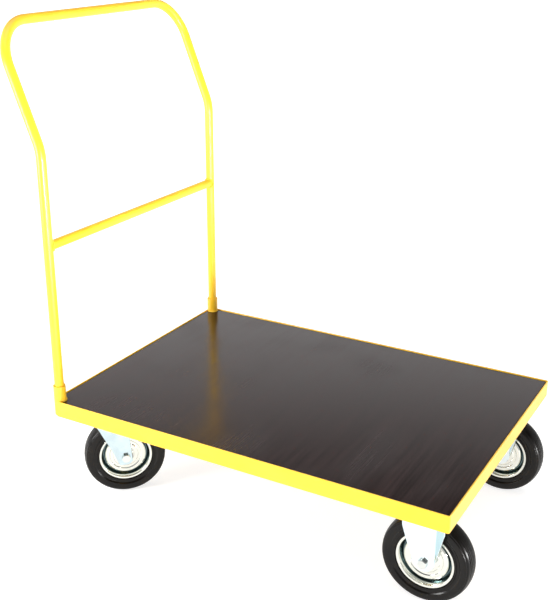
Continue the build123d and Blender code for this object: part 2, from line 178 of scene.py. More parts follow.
def plate_place(tag):
    """Middle of a caster's plate, at its top."""
    name = f"{tag}_swivel" if f"{tag}_swivel" in JOINTS else f"{tag}_spin"
    x, y = np.array(JOINTS[name]["pos_m"][:2]) / MM
    return x, y, FRAME_Z


# ---- lines
def turns(count):
    """So many angles evenly round a circle."""
    return np.linspace(0, 2 * math.pi, count, endpoint=False)


def unit(vectors):
    """Vectors scaled to length one."""
    return vectors / np.linalg.norm(vectors, axis=-1, keepdims=True)


def arc_at(before, corner, after, radius, step=7.5):
    """Points of the arc that touches both runs at a corner: centre on the bisector."""
    back, ahead = unit(before - corner), unit(after - corner)
    half = math.acos(float(np.clip(back @ ahead, -1, 1))) / 2
    if radius == 0 or math.pi / 2 - half < 1e-4:
        return corner[None]
    centre = corner + unit(back + ahead) * radius / math.sin(half)
    start = corner + back * radius / math.tan(half)
    turn = math.pi - 2 * half
    swing = np.linspace(0, turn, max(3, math.ceil(math.degrees(turn) / step) + 1))[:, None]
    return centre + np.cos(swing) * (start - centre) - np.sin(swing) * radius * back


def rounded(points, radii, closed=False, step=7.5):
    """Polyline with arcs in place of its corners; an open one keeps its two end points."""
    points = np.array(points, float)
    if closed:
        before, corners, after = np.roll(points, 1, 0), points, np.roll(points, -1, 0)
    else:
        before, corners, after = points[:-2], points[1:-1], points[2:]
    radii = np.broadcast_to(np.array(radii, float), len(corners))
    arcs = [arc_at(*corner, step) for corner in zip(before, corners, after, radii)]
    if not closed:
        arcs = [points[:1], *arcs, points[-1:]]
    return np.concatenate(arcs)


def lengths(line):
    """Distance along a line at each of its points."""
    return np.concatenate([[0.0], np.cumsum(np.linalg.norm(np.diff(line, axis=0), axis=1))])


def resampled(line, step):
    """The same line with points no further apart than step, its own points kept."""
    along = lengths(line)
    extra = np.linspace(0, along[-1], int(along[-1] / step) + 2)
    places = np.unique(np.round(np.concatenate([along, extra]), 6))
    return np.stack([np.interp(places, along, axis) for axis in line.T], 1)


def walled(line, thickness):
    """Closed outline of sheet metal: the line moved half a thickness to each side, its two
    edges closed by half circles."""
    ahead = np.gradient(line, axis=0)
    normal = unit(np.stack([-ahead[:, 1], ahead[:, 0]], 1)) * thickness / 2
    swing = np.linspace(0, math.pi, 7)[1:-1, None]
    far = line[-1] + normal[-1] * np.cos(swing) + unit(ahead[-1]) * thickness / 2 * np.sin(swing)
    near = line[0] - normal[0] * np.cos(swing) - unit(ahead[0]) * thickness / 2 * np.sin(swing)
    return np.concatenate([line + normal, far, (line - normal)[::-1], near])


def box_outline(low, high, radius, step=9.0):
    """Rounded rectangle from two opposite corners."""
    (x0, y0), (x1, y1) = low, high
    return rounded([(x0, y0), (x1, y0), (x1, y1), (x0, y1)], radius, closed=True, step=step)


# ---- surfaces
def grid(points, wrap_rows=False, wrap_cols=True):
    """Faces between neighbouring rows and columns, with a UV map in metres along both."""
    rows, cols = points.shape[:2]
    index = np.arange(rows * cols).reshape(rows, cols)
    if wrap_rows:
        index = np.vstack([index, index[:1]])
        points = np.concatenate([points, points[:1]])
    if wrap_cols:
        index = np.hstack([index, index[:, :1]])
        points = np.concatenate([points, points[:, :1]], 1)
    down = np.linalg.norm(np.diff(points, axis=0), axis=2).mean(1)
    across = np.linalg.norm(np.diff(points, axis=1), axis=2).mean(0)
    v = np.concatenate([[0.0], np.cumsum(down)])
    u = np.concatenate([[0.0], np.cumsum(across)])
    ring = [(0, 0), (0, 1), (1, 1), (1, 0)]
    ends = index.shape
    pick = [(slice(a, ends[0] - 1 + a), slice(b, ends[1] - 1 + b)) for a, b in ring]
    quads = np.stack([index[p] for p in pick], -1).reshape(-1, 4)
    uv = np.stack(np.broadcast_arrays(u[None, :], v[:, None]), -1)
    corners = np.stack([uv[p] for p in pick], 2).reshape(-1, 4, 2)
    return points[:rows, :cols].reshape(-1, 3), quads, corners


def spun(seat, outline, segments=96, closed=True):
    """Outline of (radius, distance along the side axis) turned about the seat's side axis."""
    turn = turns(segments)
    radius, along = np.array(outline, float).T[:, :, None]
    points = seat(radius * np.cos(turn), along + 0 * turn, radius * np.sin(turn))
    return grid(points, wrap_rows=closed)


def swept(path, radius, sides=40, reference=(1.0, 0.0, 0.4)):
    """Round section carried along a path in metres: each ring is square to the path, with its
    first direction square to the reference. Returns the rings, for grid or for stacking."""
    ahead = unit(np.gradient(path, axis=0))
    first = unit(np.cross(ahead, reference))
    second = np.cross(ahead, first)
    turn = turns(sides)[None, :, None]
    radius = np.broadcast_to(radius, len(path))[:, None, None]
    return path[:, None] + radius * (np.cos(turn) * first[:, None] + np.sin(turn) * second[:, None])


def bead(path, radius, pitch=2.6, reference=(0.31, 0.17, 0.93), closed=False):
    """Weld bead along a path in metres: a round section that swells once a pitch, as the puddle
    freezes in ripples, and closes like a drop at both ends."""
    path = resampled(path, 0.55 * MM)
    along = lengths(path)
    ripple = 1 + 0.13 * np.cos(2 * math.pi * along / (pitch * MM))
    ends = np.minimum(along, along[-1] - along) / (radius * MM)
    taper = 1.0 if closed else np.sqrt(1 - (1 - np.clip(ends, 0, 1)) ** 2)
    return grid(swept(path, radius * MM * ripple * taper, 10, reference))


def slab(seat, outline, low, high, edge=0.6):
    """Flat plate: rings run out from the middle of one face, round the edge in quarter circles,
    and back to the middle of the other. A ring a little inside each edge keeps the faces flat
    right up to it, and the next is the outline held inside a smaller rectangle, which takes in
    any notch. The outline lies in the seat's forward and side directions, and low and high along
    its up."""
    outline = resampled(np.concatenate([outline, outline[:1]]), 12.0)[:-1]
    middle = outline.mean(0)
    ahead = np.roll(outline, -1, 0) - np.roll(outline, 1, 0)
    outward = unit(np.stack([ahead[:, 1], -ahead[:, 0]], 1))
    outward *= np.sign((outward * (outline - middle)).sum())
    quarter = np.linspace(0, math.pi / 2, 4)
    rise, run = edge * (1 - np.cos(quarter)), edge * (1 - np.sin(quarter))
    inset = np.concatenate([[edge + 1.2], run, rise, [edge + 1.2]])
    height = np.concatenate([[low], low + rise, high - run, [high]])
    rings = outline - inset[:, None, None] * outward
    held = np.clip(outline, outline.min(0) + SLAB_MARGIN, outline.max(0) - SLAB_MARGIN)[None]
    ends = middle + 0 * held
    rings = np.concatenate([ends, held, rings, held, ends])
    height = np.concatenate([[low, low], height, [high, high]])[:, None]
    return grid(seat(rings[..., 0], rings[..., 1], height))


def thick(points, thickness):
    """Bent sheet metal from its middle surface (rows, columns, 3), in millimetres: both faces
    lie half a thickness along the surface's normal, and the edge bulges a little, as cut."""
    normal = unit(np.cross(np.gradient(points, axis=0), np.gradient(points, axis=1)))
    front, back = points + normal * thickness / 2, points - normal * thickness / 2
    rows, cols = points.shape[:2]
    order = np.arange(rows * cols).reshape(rows, cols)
    loop = np.concatenate([order[0, :-1], order[:-1, -1], order[-1, :0:-1], order[:0:-1, 0]])
    inner = np.clip(np.stack(np.divmod(loop, cols), 1), [1, 1], [rows - 2, cols - 2])
    flat = points.reshape(-1, 3)
    outward = unit(flat[loop] - points[inner[:, 0], inner[:, 1]]) * thickness * 0.22
    rim = [front.reshape(-1, 3)[loop], flat[loop] + outward, back.reshape(-1, 3)[loop]]
    rim.insert(1, (rim[0] * 0.6 + flat[loop] * 0.4) + outward * 0.8)
    rim.insert(3, (rim[-1] * 0.6 + flat[loop] * 0.4) + outward * 0.8)
    return [(front, False), (back, False), (np.stack(rim), True)]


def shell(sheets, seat):
    """One closed grid from the faces and the rim that thick gives."""
    made = [grid(seat(*np.moveaxis(points, -1, 0)), wrap_cols=wrap) for points, wrap in sheets]
    return joined(made)


def joined(grids):
    """Several grids as one, to be merged where they meet."""
    starts = np.cumsum([0] + [len(points) for points, _, _ in grids[:-1]])
    points = np.concatenate([points for points, _, _ in grids])
    quads = np.concatenate([quads + start for (_, quads, _), start in zip(grids, starts)])
    return points, quads, np.concatenate([corners for _, _, corners in grids])


def tidy_mesh(points, quads, corners):
    """Mesh of one grid, with doubles merged, open ends closed and faces turned outwards."""
    mesh = bpy.data.meshes.new("part")
    mesh.vertices.add(len(points))
    mesh.vertices.foreach_set("co", points.astype(np.float32).ravel())
    mesh.loops.add(quads.size)
    mesh.loops.foreach_set("vertex_index", quads.astype(np.int32).ravel())
    mesh.polygons.add(len(quads))
    mesh.polygons.foreach_set("loop_start", np.arange(0, quads.size, 4, dtype=np.int32))
    mesh.uv_layers.new(name="UVMap")
    mesh.uv_layers[0].data.foreach_set("uv", corners.astype(np.float32).ravel())
    mesh.update(calc_edges=True)
    work = bmesh.new()
    work.from_mesh(mesh)
    bmesh.ops.remove_doubles(work, verts=work.verts, dist=2e-6)
    bmesh.ops.holes_fill(work, edges=[e for e in work.edges if e.is_boundary], sides=0)
    bmesh.ops.recalc_face_normals(work, faces=work.faces)
    work.to_mesh(mesh)
    work.free()
    return mesh


def piece(name, grids, body, finish, stands_for, crease=30):
    """One finished object from its closed grids, riding on a body in place of CAD nodes. A
    finish is a material and a slot name; the slot name is not used."""
    material, slot = finish
    work = bmesh.new()
    for one in grids:
        mesh = tidy_mesh(*one)
        work.from_mesh(mesh)
        bpy.data.meshes.remove(mesh)
    mesh = bpy.data.meshes.new(name)
    work.to_mesh(mesh)
    work.free()
    mesh.shade_smooth()
    mesh.set_sharp_from_angle(angle=math.radians(crease))
    mesh.materials.append(material)
    made = bpy.data.objects.new(name, mesh)
    bpy.context.scene.collection.objects.link(made)
    made.modifiers.new("flats_stay_flat", "WEIGHTED_NORMAL").keep_sharp = True
    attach(made, body)
    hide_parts(*stands_for)
    return made


def keep(node, finish):
    """A CAD node whose own shape is shown, with its finish."""
    mesh = frame["nodes"][node].data
    mesh.materials.clear()
    mesh.materials.append(finish[0])


# ---- finishes
def srgb(code):
    """Linear colour of an sRGB hex value such as 'FFCC00'."""
    parts = np.array([int(code[i:i + 2], 16) for i in (0, 2, 4)]) / 255
    linear = np.where(parts <= 0.04045, parts / 12.92, ((parts + 0.055) / 1.055) ** 2.4)
    return (*linear.tolist(), 1.0)


def add(tree, kind, settings=None, **inputs):
    """Adds a shader node, sets its settings, and fills or links its inputs; an input's name is
    written with _ for a space, and in_0 is the first input of a node whose inputs share a name."""
    made = tree.nodes.new("ShaderNode" + kind)
    for key, value in (settings or {}).items():
        setattr(made, key, value)
    for key, value in inputs.items():
        socket = made.inputs[int(key[3:]) if key.startswith("in_") else key.replace("_", " ")]
        if isinstance(value, bpy.types.NodeSocket):
            tree.links.new(value, socket)
        else:
            socket.default_value = value
    return made.outputs


def new_material(name):
    """An empty node material, add for its tree, and its texture coordinates."""
    material = bpy.data.materials.new(name)
    material.use_nodes = True
    material.node_tree.nodes.clear()
    node = partial(add, material.node_tree)
    return material, node, node("TexCoord")


def finish_material(node, surface):
    """Joins the shader to the material's output."""
    node("OutputMaterial", Surface=surface[0])


def per(millimetres):
    """Texture scale that repeats about once in so many millimetres."""
    return 1 / (millimetres * MM)


MIX = {"data_type": "RGBA"}
TIMES = {"operation": "MULTIPLY"}


def polyester_powder_coat():
    """Yellow polyester powder coat on steel: sprayed dry and baked, so it is glossy and even,
    with a faint orange peel a few millimetres across and slightly deeper colour where thick."""
    material, node, where = new_material("polyester_powder_coat_yellow")
    place = where["Object"]
    peel = node("TexNoise", Vector=place, Scale=per(3.2), Detail=1.5)
    grit = node("TexNoise", Vector=place, Scale=per(0.7), Detail=2.0)
    cloud = node("TexNoise", Vector=place, Scale=per(160), Detail=3.0)
    depth = node("MapRange", Value=cloud[0], From_Min=0.3, From_Max=0.7)
    tone = node("Mix", MIX, in_0=depth[0], in_6=srgb("FFCC32"), in_7=srgb("FDC426"))
    speck = node("MapRange", Value=grit[0], From_Min=0.35, From_Max=0.75,
                 To_Max=0.12)
    tone = node("Mix", MIX, in_0=speck[0], in_6=tone[2], in_7=srgb("EAA51A"))
    gloss = node("MapRange", Value=cloud[0], To_Min=0.28, To_Max=0.38)
    lift = node("Math", TIMES, in_0=grit[0], in_1=0.25)
    height = node("Math", {"operation": "ADD"}, in_0=peel[0], in_1=lift[0])
    bump = node("Bump", Height=height[0], Strength=0.35, Distance=0.00012)
    finish_material(node, node("BsdfPrincipled", Base_Color=tone[2], IOR=1.52,
                               Roughness=gloss[0], Coat_Weight=0.12, Coat_Roughness=0.1,
                               Normal=bump[0]))
    return material


def film_faced_birch():
    """Birch plywood faced with brown phenolic film: the film is smooth and glossy, shows the
    veneer's grain as streaks 7 mm wide and 200 mm long across the deck, and has faint rubbed
    patches; the cut edges are sealed with brown paint over the thin crossed veneers."""
    material, node, where = new_material("phenolic_film_faced_birch_plywood")
    place = where["Object"]
    along = node("Mapping", Vector=place, Scale=(150.0, 5.0, 6.0))
    fibre = node("Mapping", Vector=place, Scale=(900.0, 28.0, 28.0))
    streak = node("TexNoise", Vector=along[0], Scale=1.0, Detail=5.0, Roughness=0.6)
    hair = node("TexNoise", Vector=fibre[0], Scale=1.0, Detail=2.0)
    patch = node("TexNoise", Vector=place, Scale=per(170), Detail=1.0)
    dark = node("MapRange", Value=streak[0], From_Min=0.3, From_Max=0.7)
    tone = node("Mix", MIX, in_0=dark[0], in_6=srgb("190907"), in_7=srgb("280E0C"))
    rub = node("MapRange", {"interpolation_type": "SMOOTHSTEP"}, Value=patch[0],
               From_Min=0.42, From_Max=0.78, To_Max=0.3)
    tone = node("Mix", MIX, in_0=rub[0], in_6=tone[2], in_7=srgb("1D0C0A"))
    layers = node("TexWave", {"bands_direction": "Z"}, Vector=place,
                  Scale=per(2.7) / 2, Distortion=0.6)
    ply = node("Mix", MIX, in_0=layers[1], in_6=srgb("3A2214"), in_7=srgb("6B4A2C"))
    facing = node("SeparateXYZ", Vector=where["Normal"])
    upright = node("Math", {"operation": "ABSOLUTE"}, in_0=facing["Z"])
    is_face = node("MapRange", Value=upright[0], From_Min=0.5, From_Max=0.8)
    tone = node("Mix", MIX, in_0=is_face[0], in_6=ply[2], in_7=tone[2])
    gloss = node("MapRange", Value=streak[0], To_Min=0.08, To_Max=0.3)
    dull = node("Math", TIMES, in_0=rub[0], in_1=0.3)
    gloss = node("Math", {"operation": "ADD"}, in_0=gloss[0], in_1=dull[0])
    bump = node("Bump", Height=hair[0], Strength=0.16, Distance=0.00006)
    finish_material(node, node("BsdfPrincipled", Base_Color=tone[2], IOR=1.5,
                               Roughness=gloss[0], Normal=bump[0]))
    return material


def bright_zinc(name, light, shade, low, high, folds=0.0):
    """Steel with bright electroplated zinc: light grey with a cool cast, its tone and its gloss
    varying in soft clouds, and fine marks from the press. folds is how strongly a pale blue is
    painted on faces that turn towards -X: a painted reflection on the wings that lean back from the
    front edges."""
    material, node, where = new_material(name)
    place = where["Object"]
    cloud = node("TexNoise", Vector=place, Scale=per(30), Detail=3.0)
    tint = node("MapRange", Value=cloud[0], From_Min=0.35, From_Max=0.65)
    tone = node("Mix", MIX, in_0=tint[0], in_6=srgb(light), in_7=srgb(shade))
    # painted reflection: faces turned towards -X (normal x below -0.25) are tinted pale blue,
    # standing in for the cool reflection on the folded wings
    facing = node("SeparateXYZ", Vector=where["Normal"])
    blue = node("MapRange", Value=facing["X"], From_Min=-0.25, From_Max=-0.48,
                To_Max=folds)
    tone = node("Mix", MIX, in_0=blue[0], in_6=tone[2], in_7=srgb("B4D9E3"))
    gloss = node("MapRange", Value=cloud[0], To_Min=low, To_Max=high)
    lines = node("Mapping", Vector=place, Scale=(1.0, 1.0, 0.02))
    scratch = node("TexNoise", Vector=lines[0], Scale=per(1.2), Detail=3.0)
    bump = node("Bump", Height=scratch[0], Strength=0.08, Distance=0.00003)
    finish_material(node, node("BsdfPrincipled", Base_Color=tone[2], Metallic=1.0,
                               Roughness=gloss[0], Normal=bump[0]))
    return material


def spun_zinc():
    """Bright zinc on the wheels' pressed discs: a warmer grey than the forks, nearly a mirror,
    with fine rings from the spinning tool. Its UV map holds the distance from the axle, and
    the narrow well is painted dark teal: painted shade and painted dark reflection of the gap."""
    material, node, where = new_material("bright_zinc_spun_wheel_disc")
    radius = node("SeparateXYZ", Vector=where["UV"])["Y"]
    cloud = node("TexNoise", Vector=where["Object"], Scale=per(26), Detail=3.0)
    tone = node("Mix", MIX, in_0=cloud[0], in_6=srgb("ECECE4"), in_7=srgb("DFE1D9"))
    # painted shade: from about 49 to 54.4 mm out the well is painted dark teal (the film below),
    # standing in for the shadow and dark reflections in the narrow gap
    into = node("MapRange", Value=radius, From_Min=0.0490, From_Max=0.0502)
    out = node("MapRange", Value=radius, From_Min=0.0530, From_Max=0.0544,
               To_Min=1.0, To_Max=0.0)
    well = node("Math", TIMES, in_0=into[0], in_1=out[0])
    film = node("Math", TIMES, in_0=well[0], in_1=0.93)
    tone = node("Mix", MIX, in_0=film[0], in_6=tone[2], in_7=srgb("2C4E57"))
    rings = node("Mapping", Vector=where["UV"], Scale=(0.02, 1.0, 0.0))
    turned = node("TexNoise", Vector=rings[0], Scale=per(1.6), Detail=3.0)
    gloss = node("MapRange", Value=turned[0], To_Min=0.05, To_Max=0.17)
    bump = node("Bump", Height=turned[0], Strength=0.2, Distance=0.00008)
    finish_material(node, node("BsdfPrincipled", Base_Color=tone[2], Metallic=1.0,
                               Roughness=gloss[0], Normal=bump[0]))
    return material


def ground_steel():
    """Ground and oiled bearing steel: darker than zinc, fine grinding marks, a wet shine."""
    material, node, where = new_material("ground_bearing_steel")
    marks = node("TexNoise", Vector=where["Object"], Scale=per(0.9), Detail=4.0)
    film = node("TexNoise", Vector=where["Object"], Scale=per(9), Detail=2.0)
    tone = node("Mix", MIX, in_0=film[0], in_6=srgb("A9A8A4"), in_7=srgb("7E7A72"))
    gloss = node("MapRange", Value=marks[0], To_Min=0.16, To_Max=0.34)
    bump = node("Bump", Height=marks[0], Strength=0.1, Distance=0.00003)
    finish_material(node, node("BsdfPrincipled", Base_Color=tone[2], Metallic=1.0,
                               Roughness=gloss[0], Normal=bump[0]))
    return material


def moulded_rubber():
    """Solid black rubber from a mould: satin, a little brown, with a fine grain from the mould,
    faint rings where the mould was turned, and a trace of pale bloom."""
    material, node, where = new_material("moulded_black_rubber")
    grain = node("TexNoise", Vector=where["Object"], Scale=per(0.8), Detail=3.0)
    bloom = node("TexNoise", Vector=where["Object"], Scale=per(35), Detail=4.0)
    rings = node("Mapping", Vector=where["UV"], Scale=(0.01, 1.0, 0.0))
    turned = node("TexNoise", Vector=rings[0], Scale=per(1.1), Detail=2.0)
    pale = node("MapRange", Value=bloom[0], From_Min=0.45, From_Max=0.75)
    tone = node("Mix", MIX, in_0=pale[0], in_6=srgb("0C0907"), in_7=srgb("19140F"))
    gloss = node("MapRange", Value=bloom[0], To_Min=0.18, To_Max=0.32)
    lift = node("Math", TIMES, in_0=turned[0], in_1=1.6)
    height = node("Math", {"operation": "ADD"}, in_0=grain[0], in_1=lift[0])
    bump = node("Bump", Height=height[0], Strength=0.2, Distance=0.0001)
    finish_material(node, node("BsdfPrincipled", Base_Color=tone[2], IOR=1.52,
                               Specular_IOR_Level=0.24, Roughness=gloss[0], Normal=bump[0]))
    return material


yellow = polyester_powder_coat(), "yellow_powder_coat"
plywood = film_faced_birch(), "film_faced_plywood"
zinc_pressed = (bright_zinc("bright_zinc_pressed_steel", "CFE0E5", "C2D5DC", 0.12, 0.22),
                "zinc_pressing")
# 0.8 is the strength of the painted blue reflection on the rigid forks' wings
zinc_folded = (bright_zinc("bright_zinc_folded_steel", "EBF4F7", "E2EEF2", 0.12, 0.22, 0.8),
               "zinc_pressing")
zinc_bolts = (bright_zinc("bright_zinc_fasteners", "E6E8E3", "D6DAD7", 0.08, 0.16),
              "zinc_fasteners")
zinc_spun = spun_zinc(), "zinc_disc"
steel = ground_steel(), "bearing_steel"
rubber = moulded_rubber(), "solid_rubber"


# ---- handle
def handle_tube():
    """One tube bent four times: round rings carried up the right leg, over the top and down the
    left leg, then back through the bore, so both walls and both ends close."""
    side = [(SOCKET_X, TUBE_FOOT), (SOCKET_X, BAR_Z - KNEE_DROP), (BAR_X, BAR_Z)]
    corners = [(x, -SOCKET_Y, z) for x, z in side] + [(x, SOCKET_Y, z) for x, z in side[::-1]]
    path = rounded(corners, [KNEE_R, BEND_R, BEND_R, KNEE_R], step=3.0) * MM
    path = resampled(path, 40 * MM)
    outer = swept(path, TUBE_R * MM, 48)
    inner = swept(path, (TUBE_R - TUBE_WALL) * MM, 48)
    ends = [outer[:1] * 0.5 + inner[:1] * 0.5, outer[-1:] * 0.5 + inner[-1:] * 0.5]
    rings = np.concatenate([outer, ends[1], inner[::-1], ends[0]])
    piece("handle_tube_bent", [grid(rings, wrap_rows=True)], "handle", yellow, ["handle_tube"],
          crease=50)


def saddle(turn, radius):
    """Where a bar of that radius meets a leg: distance from the cart's middle, by the angle
    round the bar, so that the end follows the leg's round side."""
    x = radius * np.cos(turn)
    meet = SOCKET_Y - np.sqrt(np.maximum(TUBE_R ** 2 - x ** 2, 0))
    return np.minimum(meet, SOCKET_Y - TUBE_R + SADDLE)


def handle_crossbar():
    """Straight bar with both ends cut to fit round the legs, and a rippled fillet weld along
    each cut."""
    height = BAR_Z - CROSSBAR_DROP
    turn = turns(48)
    rings = []
    for radius, order in ((TUBE_R, (-1, 1)), (TUBE_R - TUBE_WALL, (1, -1))):
        reach = saddle(turn, radius)
        for sign in order:
            rings.append(GROUND(SOCKET_X + radius * np.cos(turn), sign * reach,
                                height + radius * np.sin(turn)))
    grids = [grid(np.stack(rings), wrap_rows=True)]
    turn = np.linspace(0, 2 * math.pi, 97)
    out = TUBE_R + WELD_RISE
    x = out * np.cos(turn)
    near = np.sqrt(np.maximum(out ** 2 - x ** 2, 0))
    reach = np.minimum(SOCKET_Y - near, SOCKET_Y - TUBE_R + SADDLE + WELD_RISE)
    for sign in SIDES.values():
        line = GROUND(SOCKET_X + x, sign * reach, height + out * np.sin(turn))
        grids.append(bead(line, 2.3, 3.2, closed=True))
    piece("handle_cross_bar_welded", grids, "handle", yellow, ["handle_crossbar"], crease=50)


def handle_socket(side):
    """Corner pipe with a countersunk mouth, a closed foot and a weld round its inner quarter."""
    sign = SIDES[side]
    seat = Seat((SOCKET_X, sign * SOCKET_Y, 0)).turned_up()
    wall = rounded([(0, FRAME_Z), (SOCKET_R, FRAME_Z), (SOCKET_R, SOCKET_TOP),
                    (SOCKET_BORE_R + MOUTH_WIDER, SOCKET_TOP),
                    (SOCKET_BORE_R, SOCKET_TOP - MOUTH_DEPTH),
                    (SOCKET_BORE_R, FRAME_Z + SOCKET_FLOOR), (0, FRAME_Z + SOCKET_FLOOR)],
                   [4.5, 0.7, 0.5, 1.0, 0.4], step=15)
    inward = math.pi / 2 if sign < 0 else -math.pi / 2
    sweep = np.linspace(-0.35, math.pi / 2 + 0.35, 25) * np.sign(inward)
    reach = SOCKET_R + 0.3
    foot = GROUND(SOCKET_X + reach * np.cos(sweep), sign * SOCKET_Y + reach * np.sin(sweep),
                  BOARD_TOP + 1.3)
    grids = [spun(seat, wall, 64, closed=False), bead(foot, 1.7, 2.8)]
    piece(f"handle_socket_{side}_pipe", grids, "platform", yellow, [f"handle_socket_{side}"],
          crease=40)


# ---- deck
def angle_section():
    """Rolled steel angle: (distance in from the outer face, height) with a rounded root and
    rounded toes, its lower leg cut into short steps."""
    toe = STEEL * 0.45
    section = rounded([(0, FRAME_Z), (RAIL_LEG, FRAME_Z), (RAIL_LEG, SHELF_Z), (STEEL, SHELF_Z),
                       (STEEL, RIM_Z), (0, RIM_Z)],
                      [0.9, 0.3, toe, 3.0, toe, 0.6], closed=True, step=18)
    return resampled(np.concatenate([section, section[:1]]), 1.6)[:-1]


def frame_rail(name):
    """Angle section carried along one side of the frame. Each point of the section runs between
    two mitres; at the front its corner is an arc about the corner's centre, and at the rear it
    stops at the socket pipe's round side."""
    section = angle_section()
    inset, height = section.T
    arc = np.linspace(0, math.pi / 4, 6)[:, None]
    bend = np.maximum(FRONT_CORNER_R - inset, 0)
    mitre = np.maximum(inset - FRONT_CORNER_R, 0)
    front_run = FRONT_X - FRONT_CORNER_R - mitre + bend * np.sin(arc)
    side_in = SIDE_Y - FRONT_CORNER_R - mitre + bend * np.cos(arc)
    pipe = np.sqrt(np.maximum(SOCKET_R ** 2 - (inset - SOCKET_R) ** 2, 0))
    gap = 0.15
    stop = np.maximum(inset, SOCKET_R + gap + pipe)
    if name in SIDES:
        sign = SIDES[name]
        x = np.concatenate([(REAR_X + stop)[None], front_run])
        y = sign * np.concatenate([(SIDE_Y - inset)[None], side_in])
    elif name == "front":
        half_x = FRONT_X - FRONT_CORNER_R - mitre + bend * np.cos(arc)
        half_y = SIDE_Y - FRONT_CORNER_R - mitre + bend * np.sin(arc)
        x = np.concatenate([half_x[::-1], half_x])
        y = np.concatenate([-half_y[::-1], half_y])
    else:
        x = np.stack([REAR_X + inset, REAR_X + inset])
        y = np.stack([-(SIDE_Y - stop), SIDE_Y - stop])
    rail = grid(GROUND(x, y, height + 0 * x), wrap_cols=True)
    piece(f"frame_rail_{name}_angle", [rail], "platform", yellow, [f"frame_rail_{name}"])


def deck_board():
    """Board with eased edges, notched round the two socket pipes."""
    inset = STEEL + BOARD_GAP
    rear, front, half = REAR_X + inset, FRONT_X - inset, SIDE_Y - inset
    notch = SOCKET_R + NOTCH_GAP
    edge_at = math.sqrt(notch ** 2 - (SOCKET_R - inset) ** 2)
    swing = np.linspace(-math.asin((SOCKET_R - inset) / notch), 0, 2)[0]
    turn = np.linspace(swing, math.pi / 2 - swing, 13)
    corner = np.stack([SOCKET_X + notch * np.cos(turn), SOCKET_Y - notch * np.sin(turn)], 1)
    corner[0] = SOCKET_X + edge_at, half
    corner[-1] = rear, SOCKET_Y - edge_at
    ahead = rounded([(rear, -half), (front, -half), (front, half), (rear, half)], [4, 4], step=15)
    outline = np.concatenate([ahead[1:-1], corner, (corner * (1, -1))[::-1]])
    board = slab(GROUND, outline, BOARD_Z, BOARD_TOP, 0.7)
    piece("deck_board_ply", [board], "platform", plywood, ["deck_board"])


def cross_bearer(name):
    """Square tube across the frame: a rounded square ring carried from rail to rail."""
    low, high = span(f"cross_bearer_{name}")
    wall = BEARER_WALL
    outer = box_outline((low[0], low[2]), (high[0], high[2]), BEARER_R)
    inner = box_outline((low[0] + wall, low[2] + wall), (high[0] - wall, high[2] - wall), 1.0)
    rings = [GROUND(ring[:, 0], y, ring[:, 1]) for ring, y in
             ((outer, low[1]), (outer, high[1]), (inner, high[1]), (inner, low[1]))]
    grids = [grid(np.stack(rings), wrap_rows=True)]
    for sign in SIDES.values():
        for x in (low[0], high[0]):
            seam = GROUND(x, sign * np.array([SIDE_Y - RAIL_LEG + 2, SIDE_Y - STEEL - 2]), SHELF_Z)
            grids.append(bead(seam, 1.5))
    piece(f"cross_bearer_{name}_tube", grids, "platform", yellow, [f"cross_bearer_{name}"])


def deck_screws():
    """Pan-head screws from below. A head is a dome over a polar grid, with a cross-shaped
    recess where the smaller of the two distances to the cross's arms is under half a slot."""
    radius = np.concatenate([np.linspace(0, 3.0, 13), np.linspace(3.2, SCREW_HEAD_R, 7)])[:, None]
    turn = turns(64)
    x, y = radius * np.cos(turn), radius * np.sin(turn)
    dome = SCREW_HEAD_H * np.sqrt(np.maximum(1 - (radius / (SCREW_HEAD_R + 0.12)) ** 2.6, 0))
    arm = np.minimum(abs(x), abs(y))
    slot = np.clip((RECESS_HALF - arm) / 0.3, 0, 1) * np.clip((RECESS_REACH - radius) / 0.5, 0, 1)
    depth = dome - RECESS_DEPTH * slot
    shank_r = np.array([SCREW_HEAD_R, SCREW_R, SCREW_R, 0])[:, None] + 0 * turn
    shank_h = np.array([0, 0, 1 - SCREW_LENGTH, -SCREW_LENGTH])[:, None] + 0 * turn
    x = np.concatenate([x, shank_r * np.cos(turn)])
    y = np.concatenate([y, shank_r * np.sin(turn)])
    depth = np.concatenate([depth + 0 * turn, shank_h])
    grids = []
    for name in ("rear", "middle", "front"):
        low, high = span(f"cross_bearer_{name}")
        for share in SCREW_SHARES:
            seat = Seat(((low[0] + high[0]) / 2, share * 2 * SIDE_Y, SHELF_Z))
            grids.append(grid(seat(x, y, -depth)))
    piece("deck_screws_pan_head", grids, "platform", zinc_bolts, ["deck_screws"], crease=40)


def corner_plate(place, side):
    """Square plate edge to edge with the rails' lower legs, its inner corner well rounded,
    welded along two edges."""
    low, high = span(f"corner_plate_{place}_{side}")
    towards_x = 1 if place == "front" else -1
    towards_y = SIDES[side]
    x0, x1 = (low[0], high[0])[::towards_x]
    y0, y1 = (low[1], high[1])[::towards_y]
    outline = rounded([(x0, y0), (x1, y0), (x1, y1), (x0, y1)], [PLATE_INNER_R, 2, 2, 2],
                      closed=True)
    grids = [slab(GROUND, outline, low[2], high[2], 0.5)]
    for line in ([(x1, y0), (x1, y1)], [(x0, y1), (x1, y1)]):
        x, y = np.array(line, float).T
        grids.append(bead(GROUND(x, y, high[2] + 0.2), 1.6))
    piece(f"corner_plate_{place}_{side}_welded", grids, "platform", yellow,
          [f"corner_plate_{place}_{side}"])


# ---- fasteners
def hex_radius(turn, flats):
    """Distance from the axis to a hexagon, by angle, with its corners slightly blunt."""
    corner = flats / math.sqrt(3)
    return np.minimum(flats / 2 / np.cos(turn % (math.pi / 3) - math.pi / 6), 0.985 * corner)


HEX_TURN = turns(72)


def polar(seat, radius, along, wrap_rows=False):
    """Grid of rings about the side axis; radius and along hold one row a ring."""
    radius, along = np.stack(radius), np.stack(along)
    return grid(seat(radius * np.cos(HEX_TURN), along, radius * np.sin(HEX_TURN)), wrap_rows)


